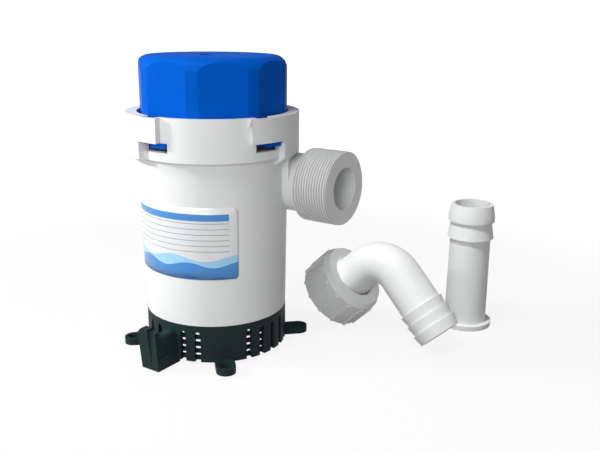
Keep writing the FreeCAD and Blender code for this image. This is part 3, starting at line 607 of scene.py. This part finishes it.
# %% The film's grid
FILM_START = math.radians(-148.0)
FILM_ANGLE = math.radians(115.0)
FILM_THICK = 0.15 * MM
FILM_CORNER = 1.6 * MM
FILM_COLUMNS, FILM_ROWS = 96, 8
CONE_LOW, CONE_HIGH = 32.9 * MM, 33.9 * MM
CONE_LOW_Z, CONE_HIGH_Z = 18.7 * MM, 92.1 * MM
film_low, film_high = (corner[2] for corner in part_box("rating_label"))
film_height = film_high - film_low
film_width = FILM_ANGLE * (CONE_LOW + CONE_HIGH) / 2


def film_radius(z):
    part = (z - CONE_LOW_Z) / (CONE_HIGH_Z - CONE_LOW_Z)
    return CONE_LOW + (CONE_HIGH - CONE_LOW) * part + FILM_THICK


def film_column(work, column):
    """One upright row of points, with each point's place on the print."""
    along = film_width * column / FILM_COLUMNS
    short = max(FILM_CORNER - min(along, film_width - along), 0.0)
    lift = FILM_CORNER - math.sqrt(FILM_CORNER**2 - short**2)
    angle = FILM_START + FILM_ANGLE * column / FILM_COLUMNS
    line = []
    for row in range(FILM_ROWS + 1):
        z = film_low + lift + (film_height - 2 * lift) * row / FILM_ROWS
        spot = Vector((math.cos(angle), math.sin(angle), 0.0)) * film_radius(z)
        spot.z = z
        line.append((work.verts.new(spot), (along / film_width, (z - film_low) / film_height)))
    return line


def film_mesh():
    mesh = bpy.data.meshes.new("rating_film")
    work = bmesh.new()
    uv_layer = work.loops.layers.uv.new("film")
    grid = [film_column(work, column) for column in range(FILM_COLUMNS + 1)]
    for left, right in zip(grid, grid[1:]):
        for row in range(FILM_ROWS):
            ring = (left[row], right[row], right[row + 1], left[row + 1])
            face = work.faces.new([vertex for vertex, _ in ring])
            face.smooth = True
            for loop, (_, spot) in zip(face.loops, ring):
                loop[uv_layer].uv = spot
    work.normal_update()
    work.to_mesh(mesh)
    work.free()
    return mesh


film = film_mesh()
print("film", round(film_width / MM, 1), "by", round(film_height / MM, 1), "mm")

# %% [markdown]
# A grid has no thickness.  Solidify gives it one, inwards, so the printed face
# stays where the solid label's face is and the back just clears the tube.

# %% The rating film
film.materials.append(printed_film(film_width / MM, film_height / MM))
film_piece = add_piece("rating_film", film, "pump", "label_film")
shell = film_piece.modifiers.new("thickness", "SOLIDIFY")
shell.thickness = FILM_THICK * 0.9
shell.offset = -1.0
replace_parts(film_piece, "rating_label")
print("film stands for the label's solid")

# %% [markdown]
# A portrait of a white object wants a pale room: a floor that shows nearly
# white to the camera but still takes a soft shadow.  More light would bleach
# the floor and the object alike.  `Is Camera Ray` separates what the lens sees
# from what lights the object, so only the floor's look changes, and it turns
# wholly white where it runs out of the picture.

# %% Floor
FLOOR_HALF_SIDE = 2.5
FLOOR_DROP = 0.2 * MM
FLOOR_GLOW = 1.25
GLOW_NEAR, GLOW_FAR = 0.70, 0.30
SWEEP_FROM, SWEEP_OVER = 0.22, 0.45


def pale_floor():
    finish = Finish("pale_floor", Roughness=0.9)
    finish.surface(Base_Color=finish.blend(
        finish.noise(8.0), (0.30, 0.30, 0.30), (0.32, 0.32, 0.32)))
    glow = finish.node("ShaderNodeEmission", sockets={
        "Color": (1, 1, 1, 1), "Strength": FLOOR_GLOW})
    seen = finish.node("ShaderNodeLightPath", output="Is Camera Ray")
    mirrored = finish.node("ShaderNodeLightPath", output="Is Glossy Ray")
    through = finish.node("ShaderNodeLightPath", output="Is Transmission Ray")
    reach = finish.node("ShaderNodeVectorMath", {"operation": "LENGTH"}, {0: finish.place()}, 1)
    sweep = ((reach - SWEEP_FROM) / SWEEP_OVER).limited()
    mixed = finish.node("ShaderNodeMixShader", sockets={
        0: (seen + mirrored + through).limited() * (GLOW_NEAR + GLOW_FAR * sweep),
        1: Wire(finish, finish.shader.outputs[0]), 2: glow})
    finish.feed(finish.nodes["Material Output"].inputs["Surface"], mixed)
    return finish.material


def floor_sheet(half):
    mesh = bpy.data.meshes.new("floor")
    corners = [(-half, -half, 0), (half, -half, 0), (half, half, 0), (-half, half, 0)]
    mesh.from_pydata(corners, [], [(0, 1, 2, 3)])
    mesh.materials.append(pale_floor())
    sheet = bpy.data.objects.new("floor", mesh)
    sheet.location.z = -FLOOR_DROP
    bpy.context.collection.objects.link(sheet)


floor_sheet(FLOOR_HALF_SIDE)
print("floor", 2 * FLOOR_HALF_SIDE, "m wide")

# %% [markdown]
# The room itself is the world: white to the lens and through anything clear,
# and a weak even light on the object, which keeps its dark side from going
# black.  White walls could do both, but they would throw the lamps' light back
# at the object and flatten it.

# %% Room
ROOM_LIGHT, ROOM_SEEN = 0.20, 1.0
world = bpy.data.worlds.new("studio")
bpy.context.scene.world = world
world.use_nodes = True
room = Bench(world.node_tree)
background = room.nodes["Background"]
straight = room.node("ShaderNodeLightPath", output="Is Camera Ray")
through = room.node("ShaderNodeLightPath", output="Is Transmission Ray")
shown = (straight + through).limited()
room.feed(background.inputs["Color"], (1, 1, 1, 1))
room.feed(background.inputs["Strength"], ROOM_LIGHT + (ROOM_SEEN - ROOM_LIGHT) * shown)
print("room light", ROOM_LIGHT)

# %% [markdown]
# A small panel low at the left is the key: it brings out the tube's roundness
# and draws the collar's edge on it.  One above and two near the lens open the
# dark side.  The port would throw the loose tails and their nut into its
# shade, so these have panels of their own, which light linking keeps off
# everything else.

# %% Lamps
OVERHEAD = (-0.034, -0.420, 0.960)
LOW_LEFT = (-0.76, -0.52, 0.46)
BROW = (0.20, -0.80, 0.42)
BY_THE_LENS = (0.36, -0.62, 0.30)
ABOVE_THE_NUT = (0.48, -0.20, 0.62)
MIDDLE = (0.02, 0.0, 0.06)
NUT = (0.06, 0.0, 0.03)


def group_of(name, things):
    group = bpy.data.collections.new(name)
    for thing in things:
        group.objects.link(thing)
    return group


def lamp(name, spot, target, side, watts, lit, shade):
    """A square panel that lights one group of things and is shaded by another."""
    light = bpy.data.lights.new(name, "AREA")
    light.shape = "SQUARE"
    light.size = side
    light.energy = watts
    holder = bpy.data.objects.new(name, light)
    holder.location = spot
    holder.rotation_euler = (Vector(target) - Vector(spot)).to_track_quat("-Z", "Y").to_euler()
    bpy.context.collection.objects.link(holder)
    holder.light_linking.receiver_collection = group_of(name + "_lights", lit)
    holder.light_linking.blocker_collection = group_of(name + "_meets", shade)


meshes = [thing for thing in bpy.context.scene.objects if thing.type == "MESH"]
tails = [thing for thing in meshes if thing.name.startswith(("straight_tail", "elbow_tail"))]
nuts = [thing for thing in meshes if thing.name.startswith("union_nut")]
others = [thing for thing in meshes if thing not in tails]
pump_parts = [thing for thing in others if thing not in nuts]
lamp("overhead_panel", OVERHEAD, MIDDLE, 0.3, 4.4, others, meshes)
lamp("side_panel", LOW_LEFT, MIDDLE, 0.12, 7.8, others, others)
lamp("brow_panel", BROW, MIDDLE, 0.4, 1.7, pump_parts, meshes)
lamp("front_panel", BY_THE_LENS, MIDDLE, 0.3, 1.3, meshes, meshes)
lamp("tails_panel", OVERHEAD, MIDDLE, 0.14, 9.2, tails, tails)
lamp("tails_side_panel", LOW_LEFT, MIDDLE, 0.12, 1.8, tails, tails)
lamp("nut_panel", ABOVE_THE_NUT, NUT, 0.15, 1.0, nuts, nuts)
print("lamps for", len(others), "things, and for", len(tails), "tails")

# %% [markdown]
# The lens looks a little down on the pump from its right front corner, from
# about a third of a metre, which shows the collar, the port's face and the
# open end of the tail together.  It is placed by turns about fixed axes: its
# heading, its tilt, and a trace of roll.

# %% Lens
LENS_SPOT = Vector((0.2229, -0.2627, 0.1514))
LENS_HEADING = math.radians(33.68)
LENS_TILT = math.radians(90.0 - 15.46)
LENS_ROLL = 0.0094
SENSOR_MM, LENS_MM, NEAREST_M = 36.0, 45.23, 0.01

lens = bpy.data.cameras.new("lens")
lens.sensor_width = SENSOR_MM
lens.lens = LENS_MM
lens.clip_start = NEAREST_M
camera = bpy.data.objects.new("lens", lens)
turn = Matrix.Rotation(LENS_HEADING, 4, "Z") @ Matrix.Rotation(LENS_TILT, 4, "X")
camera.matrix_world = Matrix.Translation(LENS_SPOT) @ turn @ Matrix.Rotation(LENS_ROLL, 4, "Z")
bpy.context.collection.objects.link(camera)
bpy.context.scene.camera = camera
bpy.context.scene.view_settings.view_transform = "Standard"
print("lens at", [round(number, 3) for number in camera.location])

# %% [markdown]
